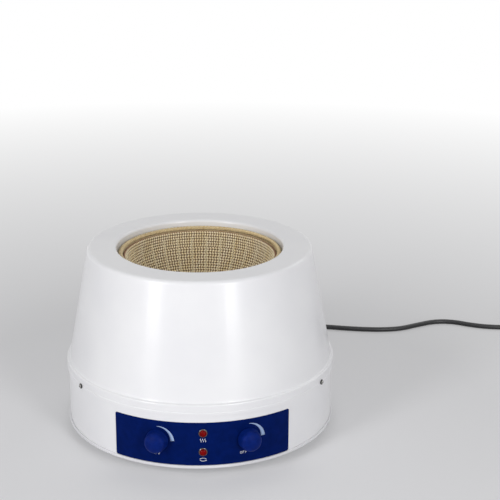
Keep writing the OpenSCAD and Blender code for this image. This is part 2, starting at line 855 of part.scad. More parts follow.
module fuse_cap() {
    seat = base_r + touch + fuse_flange_h;
    knurls = 12;
    color("black") outward(180 + fuse_angle, rear_z) difference() {
        union() {
            cylinder_between(fuse_r - 2 - touch, base_r - 10, seat + cut);
            cylinder_between(fuse_r + 0.5, seat, seat + 7);
        }
        for (i = [0:knurls - 1]) rotate([0, 0, i * 360 / knurls])
            translate([fuse_r + 1, 0, seat + 1.5]) cylinder(r = 0.9, h = 7);
        translate([-5, -0.6, seat + 5.8]) cube([10, 1.2, 2]);
    }
}

module fuse_nut() {
    nut_r = 9;
    nut_h = 3;
    face = sqrt(pow(shell_in_r, 2) - pow(nut_r, 2)) - touch;
    color("black") outward(180 + fuse_angle, rear_z)
        translate([0, 0, face - nut_h]) hex_nut(nut_r, fuse_r + touch, nut_h);
}

// A gland whose ribbed boot tapers to the cord
module cord_gland() {
    ribs = 6;
    boot_z = base_r + touch + gland_flange_h;
    root_r = 6.6;
    tip_r = cord_r + 1;
    pitch = (gland_tip - boot_z) / ribs;
    boot = [
        for (i = [0:ribs - 1]) let (r = root_r + (tip_r - root_r) * i / ribs, z = boot_z + i * pitch)
            each [[r, z], [r, z + pitch * 0.62], [r - 0.9, z + pitch * 0.72], [r - 0.9, z + pitch * 0.92]]
    ];
    color("black") outward(180, rear_z) {
        cylinder_between(gland_r, shell_in_r - 8, base_r + touch + cut);
        rotate_extrude() polygon(concat(
            [[0, base_r + touch], [gland_flange_r, base_r + touch]],
            arc([gland_flange_r - 1.5, boot_z - 1.5], 1.5, 0, 90, 4),
            boot,
            [[tip_r, gland_tip - 0.6], [tip_r, gland_tip], [0, gland_tip]]
        ));
    }
}

module gland_nut() {
    nut_r = 9;
    nut_h = 4;
    face = sqrt(pow(shell_in_r, 2) - pow(nut_r, 2)) - touch;
    color("black") outward(180, rear_z)
        translate([0, 0, face - nut_h]) hex_nut(nut_r, gland_r + touch, nut_h);
}

// ---- Mains cord ----

module power_cord() {
    entry = concat(coil_at + coil_turn_r[1] * [cos(coil_start), sin(coil_start)], cord_r);
    line = [for (p = route) p + [0, gland_tip, 0]];
    color("black") tube(concat(line, [entry]), cord_r, tube_sides);
}

module cord_coil() {
    inner = coil_turn_r[0] - cord_r;
    outer = coil_turn_r[1] + cord_r;
    color("black") translate([coil_at[0], coil_at[1], coil_h / 2])
        rotate_extrude() translate([(inner + outer) / 2, 0])
            rounded_rect((outer - inner) / 2, coil_h / 2, cord_r);
}

module cord_tail() {
    color("black") tube([for (p = tail) tail_start + p], cord_r, tube_sides);
}

// A straight moulded plug lying on its flat side
module plug_body() {
    color("black") translate(plug_at) rotate([90, 0, 0]) {
        translate([0, 0, plug_boot_len])
            linear_extrude(plug_body_len) rounded_rect(plug_half_w, plug_at[2], 5);
        rotate_extrude($fn = 48) polygon([
            [0, 0], [cord_r + 1, 0], [cord_r + 2.2, plug_boot_len * 0.5],
            [plug_at[2] - 3, plug_boot_len + 0.5], [0, plug_boot_len + 0.5]
        ]);
    }
}

module plug_pins() {
    face = plug_boot_len + plug_body_len + touch;
    color("silver") translate(plug_at) rotate([90, 0, 0]) {
        for (x = [-1, 1]) translate([x * 6.35 - 0.75, -6, face]) cube([1.5, 6.35, 16]);
        translate([0, 5.5, face]) cylinder(r = 2.4, h = 18);
    }
}

upper_housing();
base_shell();
bottom_plate();
divider_plate();
inner_bowl();
insulation();
basket_liner();
heating_basket();
basket_lacing();
basket_hem();
tie_rods();
rod_nuts();
housing_screws();
housing_nuts();
divider_screws();
divider_nuts();
base_screws();
base_nuts();
rubber_feet();
foot_screws();
foot_nuts();
panel_overlay();
heat_pot();
stir_pot();
pot_washers();
pot_nuts();
heat_spindle();
stir_spindle();
heat_knob();
stir_knob();
heat_lamp();
stir_lamp();
lamp_bezels();
lamp_nuts();
stirrer_motor();
motor_screws();
motor_shaft();
magnet_arm();
magnets();
arm_set_screw();
circuit_board();
board_standoffs();
board_screws();
board_parts();
heat_sink();
terminal_block();
fuse_holder();
fuse_cap();
fuse_nut();
cord_gland();
gland_nut();
power_cord();
cord_coil();
cord_tail();
plug_body();
plug_pins();
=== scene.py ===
import math
import bmesh
import bpy
import numpy as np
from mathutils import Matrix, Vector


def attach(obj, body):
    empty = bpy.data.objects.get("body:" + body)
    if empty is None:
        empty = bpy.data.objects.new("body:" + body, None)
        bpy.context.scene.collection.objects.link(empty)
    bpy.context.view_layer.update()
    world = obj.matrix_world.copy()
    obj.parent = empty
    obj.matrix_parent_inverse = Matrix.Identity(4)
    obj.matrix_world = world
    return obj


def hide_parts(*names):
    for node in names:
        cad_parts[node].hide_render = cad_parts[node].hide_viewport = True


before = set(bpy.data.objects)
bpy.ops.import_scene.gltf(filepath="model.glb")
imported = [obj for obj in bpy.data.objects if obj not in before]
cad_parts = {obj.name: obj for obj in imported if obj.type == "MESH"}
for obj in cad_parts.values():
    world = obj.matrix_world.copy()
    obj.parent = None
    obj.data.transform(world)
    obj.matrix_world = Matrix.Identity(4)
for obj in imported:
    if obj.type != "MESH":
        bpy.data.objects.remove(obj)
scene = bpy.context.scene
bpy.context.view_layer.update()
mm = 0.001
print("frame loaded:", len(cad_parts), "nodes")


def toLinear(hexColour):
    parts = [int(hexColour[i:i + 2], 16) / 255 for i in (1, 3, 5)]
    return tuple(c / 12.92 if c <= 0.04045 else ((c + 0.055) / 1.055) ** 2.4 for c in parts) + (1.0,)


def addNode(tree, kind, inputs=None, to=None, stops=(), **settings):
    node = tree.nodes.new("ShaderNode" + kind)
    for name, value in settings.items():
        setattr(node, name, value)
    for k, (position, colour) in enumerate(stops):
        element = node.color_ramp.elements[k]
        element.position, element.color = position, toLinear(colour)
    for name, value in (inputs or {}).items():
        if isinstance(value, bpy.types.NodeSocket):
            tree.links.new(value, node.inputs[name])
        else:
            node.inputs[name].default_value = value
    if to:
        tree.links.new(node.outputs[0], to)
    return node


def startMaterial(name, look):
    material = bpy.data.materials.new(name)
    material.use_nodes = True
    tree = material.node_tree
    tree.nodes.clear()
    shader = addNode(tree, "BsdfPrincipled", look)
    addNode(tree, "OutputMaterial", {"Surface": shader.outputs[0]})
    return material, tree, shader


def mottle(tree, shader, point, sizeMm, dark, light, low=0.35, high=0.65):
    # two close tones of one colour in soft spots of a real size; object space is in metres
    spots = addNode(tree, "TexNoise", {"Vector": point, "Scale": 1000 / sizeMm, "Detail": 3.0})
    addNode(tree, "ValToRGB", {"Fac": spots.outputs["Fac"]}, shader.inputs["Base Color"],
            ((low, dark), (high, light)))
    return spots.outputs["Fac"]


def bandScale(bandMm):
    # a wave texture's bands lie pi / 10 apart at scale 1; the yarn's UVs are in mm
    return round(math.pi / 10 / bandMm, 2)


def gridPiece(name, grids, material, body, replaced=()):
    # each grid is (points[rows, columns, 3] in mm, closed along rows, closed along columns,
    # and the size in mm that its UVs cover, or None)
    points, faces, uvs, first = [], [], [], 0
    for grid, closedRows, closedColumns, uvSize in grids:
        rows, columns = grid.shape[:2]
        points.append(grid.reshape(-1, 3) * mm)
        i = np.arange(rows if closedRows else rows - 1)[:, None]
        j = np.arange(columns if closedColumns else columns - 1)[None, :]
        corners, places = [], []
        for di, dj in ((0, 0), (1, 0), (1, 1), (0, 1)):
            corners.append(first + ((i + di) % rows) * columns + (j + dj) % columns)
            if uvSize:
                uv = np.broadcast_arrays((i + di) / rows * uvSize[0], (j + dj) / columns * uvSize[1])
                places.append(np.stack(uv, -1))
        faces.append(np.stack(corners, -1).reshape(-1, 4))
        if uvSize:
            uvs.append(np.stack(places, 2).reshape(-1, 2))
        first += rows * columns
    mesh = bpy.data.meshes.new(name)
    mesh.from_pydata(np.concatenate(points).tolist(), [], np.concatenate(faces).tolist())
    if uvs:
        layer = mesh.uv_layers.new(name="yarnMillimetres")
        layer.data.foreach_set("uv", np.concatenate(uvs).astype(np.float32).ravel())
    # points drawn together at an end become one, and every face looks outwards
    work = bmesh.new()
    work.from_mesh(mesh)
    bmesh.ops.remove_doubles(work, verts=work.verts, dist=0.001 * mm)
    bmesh.ops.recalc_face_normals(work, faces=work.faces)
    work.to_mesh(mesh)
    work.free()
    return placePiece(name, mesh, material, body, replaced)


def closeEnds(grid):
    # the rows of a strip or thread, with both ends drawn together to a point
    grid = np.array(grid)
    start, end = (np.repeat(row.mean(0)[None], len(row), 0)[None] for row in (grid[0], grid[-1]))
    return np.concatenate([start, grid, end])


def placePiece(name, data, material, body, replaced=()):
    piece = bpy.data.objects.new(name, data)
    scene.collection.objects.link(piece)
    data.materials.append(material)
    if hasattr(data, "polygons"):
        data.polygons.foreach_set("use_smooth", [True] * len(data.polygons))
        data.update()
    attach(piece, body)
    if replaced:
        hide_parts(*replaced)
    return piece


def finishNodes(material, *names):
    for name in names:
        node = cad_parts[name]
        node.data.materials.clear()
        node.data.materials.append(material)


camera = {
    "at": (-16.2, -1415.1, 677.4),   # mm, a little to the left of the object's axis
    "yaw": 2.97, "pitch": 18.39, "roll": 0.2928,   # degrees
    "lens": 93.97, "sensor": 36,
}


def placeCamera():
    yaw, pitch, roll = (math.radians(camera[k]) for k in ("yaw", "pitch", "roll"))
    ahead = Vector((math.sin(yaw) * math.cos(pitch), math.cos(yaw) * math.cos(pitch), -math.sin(pitch)))
    level = Vector((math.cos(yaw), -math.sin(yaw), 0))
    above = level.cross(ahead)
    right = level * math.cos(roll) + above * math.sin(roll)
    up = above * math.cos(roll) - level * math.sin(roll)
    data = bpy.data.cameras.new("benchCamera")
    data.lens = camera["lens"]
    data.sensor_width = camera["sensor"]
    eye = bpy.data.objects.new("benchCamera", data)
    turn = Matrix((right, up, -ahead)).transposed().to_4x4()
    eye.matrix_world = Matrix.Translation(Vector(camera["at"]) * mm) @ turn
    scene.collection.objects.link(eye)
    scene.camera = eye


placeCamera()
print("camera placed")

mainsCord = {
    "radius": 3.25,
    "exit": (0, 191, 32),
    "route": [  # from the gland's tip, down to the table and along it
        (0, 191, 32), (0, 196, 32), (0, 203, 32), (3, 216, 29.1), (9, 229, 23.4), (19, 241, 16.2),
        (32, 251, 9), (48, 260, 5), (67, 266, 3.25), (88, 270, 3.25), (116, 272, 3.25),
        (146, 271, 3.25), (176, 268, 3.25), (206, 261, 3.25), (236, 256, 3.25), (258, 255, 3.25),
        (280, 258, 3.25), (308, 271, 3.25), (334, 281, 3.25), (358, 279, 3.25), (378, 269, 3.25),
        (398, 261, 3.25), (420, 257, 3.25), (442, 255, 3.25), (464, 254, 3.25)],
    "coilAt": (490, 302), "outerTurn": 46.5, "innerTurn": 27.0,
    "fullTurns": 4, "startAngle": -95, "lastAngle": 180, "pointsPerTurn": 24,
    "climb": 0.2,   # share of a turn in which the cord rises on to its lower turns
    "tail": [(0, -12, 0), (0, -24, 0), (0.5, -36, 0.7), (1, -46, 1.8), (1, -52, 2.25), (1, -58, 2.25)],
}


def coilPoints():
    # turns inwards on the table, a short climb, then turns outwards on top of them
    cx, cy = mainsCord["coilAt"]
    pitch = 2 * mainsCord["radius"]
    low = (mainsCord["outerTurn"] - mainsCord["innerTurn"]) / pitch
    climb = mainsCord["climb"]
    end = mainsCord["fullTurns"] + (mainsCord["lastAngle"] - mainsCord["startAngle"]) / 360
    count = math.ceil(end * mainsCord["pointsPerTurn"])
    points = []
    for i in range(count + 1):
        t = end * i / count
        if t < low:
            r, z = mainsCord["outerTurn"] - pitch * t, mainsCord["radius"]
        else:
            r = max(mainsCord["innerTurn"], mainsCord["innerTurn"] + pitch * (t - low - climb))
            z = mainsCord["radius"] + pitch * min(1, (t - low) / climb)
        a = math.radians(mainsCord["startAngle"]) + 2 * math.pi * t
        points.append((cx + r * math.cos(a), cy + r * math.sin(a), z))
    return points


# mains cord: black flexible PVC jacket, extruded, so it is smooth with a soft satin shine
jacketPvc, tree, shader = startMaterial("jacketPvc", {"Roughness": 0.42, "IOR": 1.53})
point = addNode(tree, "TexCoord").outputs["Object"]
mottle(tree, shader, point, 3, "#141416", "#1E1E21")
# the real extrusion grain is 0.1 mm; drawn at 0.6 mm so that it breaks up the shine
fine = addNode(tree, "TexNoise", {"Vector": point, "Scale": 1000 / 0.6, "Detail": 2.0})
addNode(tree, "Bump", {"Height": fine.outputs["Fac"], "Distance": 0.05 * mm, "Strength": 0.35},
        shader.inputs["Normal"])


def makeCord():
    coil = coilPoints()
    last = coil[-1]
    tail = [tuple(a + b for a, b in zip(last, step)) for step in mainsCord["tail"]]
    line = mainsCord["route"] + coil + tail
    data = bpy.data.curves.new("powerCord", "CURVE")
    data.dimensions = "3D"
    data.bevel_depth = mainsCord["radius"] * mm
    data.bevel_resolution = 4
    data.resolution_u = 3
    data.use_fill_caps = True
    spline = data.splines.new("BEZIER")
    spline.bezier_points.add(len(line) - 1)
    for knot, at in zip(spline.bezier_points, line):
        knot.co = Vector(at) * mm
        knot.handle_left_type = knot.handle_right_type = "AUTO"
    cord = placePiece("powerCord", data, jacketPvc, "root",
                      ("power_cord", "cord_coil", "cord_tail"))
    length = sum((Vector(a) - Vector(b)).length for a, b in zip(line, line[1:])) * mm
    print("cord:", round(length, 3), "m, plug at", [round(v, 2) for v in tail[-1]])
    return cord, length


powerCord, cordLength = makeCord()

cordTie = {
    "angle": 35, "width": 14, "thick": 1.1, "corner": 3.4, "cornerSteps": 6, "edge": 0.4,
    # where the tape faces down it is pressed flat under the coil, and stays clear of the table
    "underFrom": -0.3, "pressed": 0.1, "letIn": 0.2, "clear": 0.05,
}
# the tie is a hook-and-loop strap of woven nylon: a dull, finely looped tape
nylonTape, tree, shader = startMaterial("nylonTape", {"Roughness": 0.85, "IOR": 1.53, "Sheen Weight": 0.3})
point = addNode(tree, "TexCoord").outputs["Object"]
mottle(tree, shader, point, 1.2, "#0E0F12", "#2A2C31")
# loops are 0.3 mm; drawn at 0.8 mm
loops = addNode(tree, "TexVoronoi", {"Vector": point, "Scale": 1000 / 0.8})
addNode(tree, "Bump", {"Height": loops.outputs["Distance"], "Distance": 0.3 * mm, "Strength": 0.7},
        shader.inputs["Normal"])


def makeTie():
    cx, cy = mainsCord["coilAt"]
    inner = mainsCord["innerTurn"] - mainsCord["radius"]
    outer = mainsCord["outerTurn"] + mainsCord["radius"]
    high = 4 * mainsCord["radius"]
    corner, thick, steps = cordTie["corner"], cordTie["thick"], cordTie["cornerSteps"]
    a = math.radians(cordTie["angle"])
    away, along = Vector((math.cos(a), math.sin(a), 0)), Vector((-math.sin(a), math.cos(a), 0))
    ring = []
    for cornerX, cornerZ, start in ((outer - corner, high - corner, 90), (outer - corner, corner, 0),
                                    (inner + corner, corner, -90), (inner + corner, high - corner, 180)):
        for k in range(steps + 1):
            b = math.radians(start - 90 * k / steps)
            ring.append((cornerX, cornerZ, math.cos(b), math.sin(b)))
    # section: inner face, rounded edge, outer face, rounded edge
    half = cordTie["width"] / 2
    flat, lowBulge, highBulge = half - cordTie["edge"], 0.35 * thick, 0.7 * thick
    section = [(-flat, 0), (flat, 0), (half, lowBulge), (half, highBulge),
               (flat, thick), (-flat, thick), (-half, highBulge), (-half, lowBulge)]
    grid = []
    for x, z, dx, dz in ring:
        row = []
        for side, out in section:
            under = dz <= cordTie["underFrom"]
            reach = corner + (out * cordTie["pressed"] - cordTie["letIn"] if under else out)
            spot = Vector((cx, cy, 0)) + away * (x + dx * reach) + along * side
            row.append((spot.x, spot.y, max(cordTie["clear"], z + dz * reach)))
        grid.append(row)
    return gridPiece("cordTie", [(np.array(grid), True, True, None)], nylonTape, "root")


tie = makeTie()

# housing: spun aluminium sheet, sprayed with cool-white epoxy powder and baked, so smooth and semi-gloss
powderCoat, tree, shader = startMaterial("powderCoat", {"Roughness": 0.3, "IOR": 1.5,
                                                        "Coat Weight": 0.25, "Coat Roughness": 0.12})
point = addNode(tree, "TexCoord").outputs["Object"]
mottle(tree, shader, point, 60, "#EAEAED", "#EFEFF1", 0.3, 0.7)
# orange peel of the baked powder: flat hills 2.5 mm apart
peel = addNode(tree, "TexNoise", {"Vector": point, "Scale": 1000 / 2.5, "Detail": 1.0})
addNode(tree, "Bump", {"Height": peel.outputs["Fac"], "Distance": 0.05 * mm, "Strength": 0.25},
        shader.inputs["Normal"])
finishNodes(powderCoat, "upper_housing", "base_shell")

# the bottom plate: pressed steel under a pale grey powder, duller than the housing
plateCoat, tree, shader = startMaterial("plateCoat", {"Roughness": 0.42, "IOR": 1.5})
point = addNode(tree, "TexCoord").outputs["Object"]
mottle(tree, shader, point, 40, "#DADADD", "#E6E6E9", 0.3, 0.7)
# its orange peel is finer: hills 2 mm apart
peel = addNode(tree, "TexNoise", {"Vector": point, "Scale": 1000 / 2, "Detail": 1.0})
addNode(tree, "Bump", {"Height": peel.outputs["Fac"], "Distance": 0.05 * mm, "Strength": 0.3},
        shader.inputs["Normal"])
finishNodes(plateCoat, "bottom_plate")
print("housing finished")

# control panel: polyester film, screen-printed from behind, so the navy is deep under a satin face
panelFilm, tree, shader = startMaterial("panelFilm", {"Roughness": 0.38, "IOR": 1.57,
                                                      "Specular IOR Level": 0.02})
point = addNode(tree, "TexCoord").outputs["Object"]
mottle(tree, shader, point, 8, "#021650", "#031959")
# the film's matt texture is 0.05 mm; drawn at 0.5 mm
grain = addNode(tree, "TexNoise", {"Vector": point, "Scale": 1000 / 0.5, "Detail": 1.0})
addNode(tree, "Bump", {"Height": grain.outputs["Fac"], "Distance": 0.02 * mm, "Strength": 0.25},
        shader.inputs["Normal"])
finishNodes(panelFilm, "panel_overlay")

# knobs: moulded ABS, dyed navy, with a fine spark-eroded texture that spreads the shine
knobAbs, tree, shader = startMaterial("knobAbs", {"Roughness": 0.46, "IOR": 1.54,
                                                  "Specular IOR Level": 0.05})
point = addNode(tree, "TexCoord").outputs["Object"]
mottle(tree, shader, point, 6, "#031B61", "#06216E")
# texture grit is 0.1 mm; drawn at 0.5 mm
grit = addNode(tree, "TexNoise", {"Vector": point, "Scale": 1000 / 0.5, "Detail": 2.0})
addNode(tree, "Bump", {"Height": grit.outputs["Fac"], "Distance": 0.04 * mm, "Strength": 0.4},
        shader.inputs["Normal"])
finishNodes(knobAbs, "heat_knob", "stir_knob")

# lamp lenses: moulded clear red acrylic, polished, dark where it is deep
lensAcrylic, tree, shader = startMaterial("lensAcrylic", {
    "Roughness": 0.06, "IOR": 1.49, "Transmission Weight": 0.05, "Specular IOR Level": 0.05})
point = addNode(tree, "TexCoord").outputs["Object"]
mottle(tree, shader, point, 2, "#680204", "#880406")
finishNodes(lensAcrylic, "heat_lamp", "stir_lamp")

# bezels: turned brass, nickel plated, so bright where they face a lamp and dark grey elsewhere
bezelNickel, tree, shader = startMaterial("bezelNickel", {"Metallic": 1.0, "Roughness": 0.18})
point = addNode(tree, "TexCoord").outputs["Object"]
mottle(tree, shader, point, 1.5, "#5A5755", "#767370")
finishNodes(bezelNickel, "lamp_bezels")

panelPrint = {
    "radius": 153.82, "lift": 0.03, "thick": 0.06,
    "knobArc": 49.5, "knobHeight": 41.5,   # mm along the shell from the panel's middle, mm above the table
    "inks": {"crescent": ("#91A6CA", "#9CB3DA"), "letters": ("#D7D9E1", "#E8EAF2")},
}

# screen ink: a thin, even, matt layer; faint pinholes 0.7 mm apart keep it from being flat
printInks = {}
for inkName, (darker, shade) in panelPrint["inks"].items():
    ink, tree, shader = startMaterial(inkName + "Ink", {"Roughness": 0.5, "IOR": 1.5})
    point = addNode(tree, "TexCoord").outputs["Object"]
    speck = mottle(tree, shader, point, 0.7, darker, shade, 0.3, 0.5)
    addNode(tree, "Bump", {"Height": speck, "Distance": 0.02 * mm, "Strength": 0.3},
            shader.inputs["Normal"])
    printInks[inkName] = ink


def onPanel(arc, z, lift):
    r = panelPrint["radius"] + lift
    a = math.radians(-90) + arc / panelPrint["radius"]
    return (r * math.cos(a), r * math.sin(a), z)


def inkStroke(line, widths):
    # a closed strip of ink along a line of (arc, z) points, wrapped on the panel
    left, right = [], []
    for i, (x, z) in enumerate(line):
        ax, az = line[max(0, i - 1)]
        bx, bz = line[min(len(line) - 1, i + 1)]
        long = math.hypot(bx - ax, bz - az)
        half = (widths[i] if isinstance(widths, list) else widths) / 2
        nx, nz = -(bz - az) / long * half, (bx - ax) / long * half
        left.append((x + nx, z + nz))
        right.append((x - nx, z - nz))
    low, high = panelPrint["lift"], panelPrint["lift"] + panelPrint["thick"]
    return closeEnds([[onPanel(*r, low), onPanel(*r, high), onPanel(*l, high), onPanel(*l, low)]
                      for l, r in zip(left, right)])


def ovalLine(cx, cz, rx, rz, start, end, count):
    angles = [math.radians(start + (end - start) * i / count) for i in range(count + 1)]
    return [(cx + rx * math.cos(a), cz + rz * math.sin(a)) for a in angles]


def inkPiece(name, strips, ink):
    gridPiece(name, [(strip, False, True, None) for strip in strips], printInks[ink], "root")


dialCrescents = {
    # for each knob: side of the panel, inner and outer radius at the broad end, degrees it spans
    "arcs": ((-1, 14, 18.5, 93), (1, 15, 20, 86)),
    "steps": 28, "thinEnd": 0.5, "swell": 1.1,
    "drawIn": 0.5,   # mm that the thin end's middle lies nearer the knob
}


def makeCrescents():
    strips = []
    for side, inner, outer, span in dialCrescents["arcs"]:
        line, widths = [], []
        for i in range(dialCrescents["steps"] + 1):
            share = i / dialCrescents["steps"]
            a = math.radians(span * (1 - share))
            r = (inner + outer) / 2 - dialCrescents["drawIn"] * (1 - share)
            line.append((side * panelPrint["knobArc"] + r * math.cos(a),
                         panelPrint["knobHeight"] + r * math.sin(a)))
            thin = dialCrescents["thinEnd"]
            widths.append(thin + (outer - inner - thin) * share ** dialCrescents["swell"])
        strips.append(inkStroke(line, widths))
    inkPiece("dialCrescents", strips, "crescent")


panelSigns = {
    # OFF in plain strokes 2.5 mm high: for each knob its side, and mm from the knob's axis to the word
    "off": {"starts": ((-1, -4.9), (1, -8.9)), "below": 17.2, "high": 2.5, "wide": 2.0,
            "step": 2.95, "stroke": 0.45, "overshoot": 0.2, "points": 20,
            "bars": ((1, 1.8), (0.52, 1.4))},   # share of the height, length
    "heat": {"at": (0, 43.4), "step": 2.4, "high": 4, "swing": 0.55, "stroke": 0.55, "points": 12},
    "stir": {"at": (0, 20.6), "oval": (3.52, 1.76), "from": 15, "to": 140, "points": 14,
             "stroke": 0.5, "head": 1.5, "tip": 0.1},
}


def offWord(x, z):
    word = panelSigns["off"]
    high, wide, stroke = word["high"], word["wide"], word["stroke"]
    ring = ovalLine(x + wide / 2, z + high / 2, wide / 2, high / 2, 0, 360, word["points"])
    strokes = [inkStroke(ring, stroke)]
    for k in (1, 2):   # the two letters F, a stem and two bars each
        left = x + k * word["step"]
        strokes.append(inkStroke([(left, z - word["overshoot"]), (left, z + high + word["overshoot"])],
                                 stroke))
        for share, length in word["bars"]:
            bar = z + high * share
            strokes.append(inkStroke([(left + stroke / 2, bar), (left + length, bar)], stroke))
    return strokes


def heatSign():
    # three rising waves of warm air
    wave = panelSigns["heat"]
    x, z = wave["at"]
    waves = []
    for k in (-1, 0, 1):
        shares = [t / wave["points"] for t in range(wave["points"] + 1)]
        waves.append(inkStroke([(x + k * wave["step"] + wave["swing"] * math.sin(2 * math.pi * share),
                                 z + wave["high"] * (share - 0.5)) for share in shares], wave["stroke"]))
    return waves


def stirSign():
    # two arrows chasing each other round a flat oval
    arrow = panelSigns["stir"]
    strokes = []
    for turn in (0, 180):
        line = ovalLine(*arrow["at"], *arrow["oval"], turn + arrow["from"], turn + arrow["to"],
                        arrow["points"])
        strokes.append(inkStroke(line, arrow["stroke"]))
        neck, back = line[-1], line[-2]
        dx, dz = neck[0] - back[0], neck[1] - back[1]
        reach = arrow["head"] / math.hypot(dx, dz)
        ahead = (neck[0] + dx * reach, neck[1] + dz * reach)
        strokes.append(inkStroke([neck, ahead], [arrow["head"], arrow["tip"]]))
    return strokes


def makeSigns():
    strips = []
    for side, start in panelSigns["off"]["starts"]:
        strips += offWord(side * panelPrint["knobArc"] + start,
                          panelPrint["knobHeight"] - panelSigns["off"]["below"])
    inkPiece("panelSigns", strips + heatSign() + stirSign(), "letters")


makeCrescents()
makeSigns()
print("panel printed")

# heating basket: glass yarn knitted over heating cord, laid in rows on half a ball
basket = {
    "centreZ": 205.0, "rowRadius": 86.4, "rowAngle": 87.4, "rowStep": 2.1221, "rows": 41,
    "upperRows": 14,     # rows in the upper of the two pieces
    "yarnRadius": 1.9, "stitch": 3.2, "sides": 8, "columnsPerStitch": 5,
    "counts": (5, 10, 15, 20, 30, 45, 60, 90, 120, 150, 180),   # stitches a row may have
    "faceR": 84.7, "hollowR": 85.7,   # from the ball's middle: the face of the rows, the hollows
    "dip": 0.4,          # share of the radius lost between stitches
    "lean": 0.7,         # radians by which a stitch slants round its row
    "weave": 0.25,       # mm that a row swings in and out between stitches
    # the knot at the pole, in mm; each of its rings steps aside by skew
    "knot": {"wide": 2.2, "high": 1.5, "sunk": 0.2, "skew": 0.001, "rings": 8, "sides": 12,
             "cover": (6, 12)},
}

# glass yarn: shiny cream filaments, knitted; painted shade darkens the hollows between stitches
glassYarn, tree, shader = startMaterial("glassYarn", {"Roughness": 0.45, "IOR": 1.52, "Sheen Weight": 0.3,
                                                      "Sheen Roughness": 0.4})
point = addNode(tree, "UVMap", uv_map="yarnMillimetres").outputs[0]
# filaments are 0.01 mm; drawn as bundles 1 mm apart that cross the row at 35 degrees
slant = addNode(tree, "Mapping", {"Vector": point, "Rotation": (0, 0, math.radians(35))})
bundles = addNode(tree, "TexWave", {"Vector": slant.outputs[0], "Scale": bandScale(1), "Distortion": 2.5,
                                    "Detail": 2.0, "Detail Scale": 1.5}, bands_direction="X")
tint = addNode(tree, "TexNoise", {"Vector": point, "Scale": 1 / 4, "Detail": 3.0})   # tones 4 mm wide
yarnShade = addNode(tree, "ValToRGB", {"Fac": tint.outputs["Fac"]},
                    stops=((0.3, "#EFDCA9"), (0.65, "#FCF1D3")))
# how far a point lies behind the face of the rows, from the middle of the ball, for the painted shade in the
# hollows
inBall = addNode(tree, "VectorMath", {0: addNode(tree, "TexCoord").outputs["Object"],
                                      1: (0, 0, basket["centreZ"] * mm)}, operation="SUBTRACT")
far = addNode(tree, "VectorMath", {0: inBall.outputs[0]}, operation="LENGTH")
sunk = addNode(tree, "MapRange", {"Value": far.outputs["Value"], "From Min": basket["faceR"] * mm,
                                  "From Max": basket["hollowR"] * mm})
# painted shade: a brown that deepens towards the hollows between stitches, multiplied into the yarn's colour
paintedHollowShade = addNode(tree, "ValToRGB", {"Fac": sunk.outputs[0]}, stops=((0.1, "#FFFFFF"), (0.95, "#845A36")))
addNode(tree, "MixRGB", {"Fac": 1.0, "Color1": yarnShade.outputs[0], "Color2": paintedHollowShade.outputs[0]},
        shader.inputs["Base Color"], blend_type="MULTIPLY")
addNode(tree, "Bump", {"Height": bundles.outputs["Fac"], "Distance": 0.15 * mm, "Strength": 0.6},
        shader.inputs["Normal"])


def yarnRow(number):
    # a closed ring of stitches at one height of the ball; rows lean left and right in turn
    phi = math.radians(basket["rowAngle"] - number * basket["rowStep"])
    ringR = basket["rowRadius"] * math.sin(phi)
    ringZ = basket["centreZ"] - basket["rowRadius"] * math.cos(phi)
    wanted = 2 * math.pi * ringR / basket["stitch"]
    stitches = min(basket["counts"], key=lambda n: abs(math.log(n / wanted)))
    columns = stitches * basket["columnsPerStitch"]
    lean = 1 if number % 2 else -1
    t = np.arange(columns)[:, None] / columns * 2 * math.pi
    psi = 2 * math.pi * np.arange(basket["sides"])[None, :] / basket["sides"]
    # the fourth power keeps the dip narrow, as between two pulled stitches
    seam = np.cos(t * stitches / 2 + lean * basket["lean"] * np.sin(psi)) ** 4
    r = basket["yarnRadius"] * (1 - basket["dip"] * seam)
    swing = basket["weave"] * np.cos(t * stitches)
    out, climb = r * np.cos(psi) + swing, r * np.sin(psi)
    across = ringR + out * math.sin(phi) + climb * math.cos(phi)
    z = ringZ - out * math.cos(phi) + climb * math.sin(phi)
    grid = np.stack([across * np.cos(t), across * np.sin(t), z], -1)
    return grid, True, True, (2 * math.pi * ringR, 2 * math.pi * basket["yarnRadius"])


def poleKnot():
    # a small knot of the same yarn closes the ball's pole
    knot = basket["knot"]
    middle = basket["centreZ"] - basket["rowRadius"] - knot["sunk"]
    turns = [2 * math.pi * j / knot["sides"] for j in range(knot["sides"])]
    grid = []
    for i in range(knot["rings"] + 1):
        lat = math.pi * i / knot["rings"]
        r, z = knot["wide"] * math.sin(lat), middle + knot["high"] * math.cos(lat)
        grid.append([(r * math.cos(a) + knot["skew"] * i, r * math.sin(a), z) for a in turns])
    return np.array(grid), False, True, knot["cover"]


def makeBasket():
    rows = [yarnRow(number) for number in range(basket["rows"])]
    split = basket["upperRows"]
    upper = gridPiece("yarnRowsUpper", rows[:split], glassYarn, "root")
    lower = gridPiece("yarnRowsLower", rows[split:] + [poleKnot()], glassYarn, "root",
                      ("heating_basket",))
    print("basket rows:", len(upper.data.polygons) * 2, len(lower.data.polygons) * 2, "triangles")


makeBasket()

# lacing: twisted glass thread that ties each row to the next, thinner and whiter than the yarn
lacing = {
    "count": 30, "radius": 0.5, "restR": 84.0, "dip": 0.9, "from": 3.0, "to": 84.0,
    "pointsPerRow": 6, "sides": 6, "girth": 3.1,
    "endShare": 0.25,   # share of the radius left at a thread's end
}
lacingGlass, tree, shader = startMaterial("lacingGlass", {"Roughness": 0.55, "IOR": 1.52,
                                                          "Sheen Weight": 0.3})
point = addNode(tree, "UVMap", uv_map="yarnMillimetres").outputs[0]
slant = addNode(tree, "Mapping", {"Vector": point, "Rotation": (0, 0, math.radians(50))})
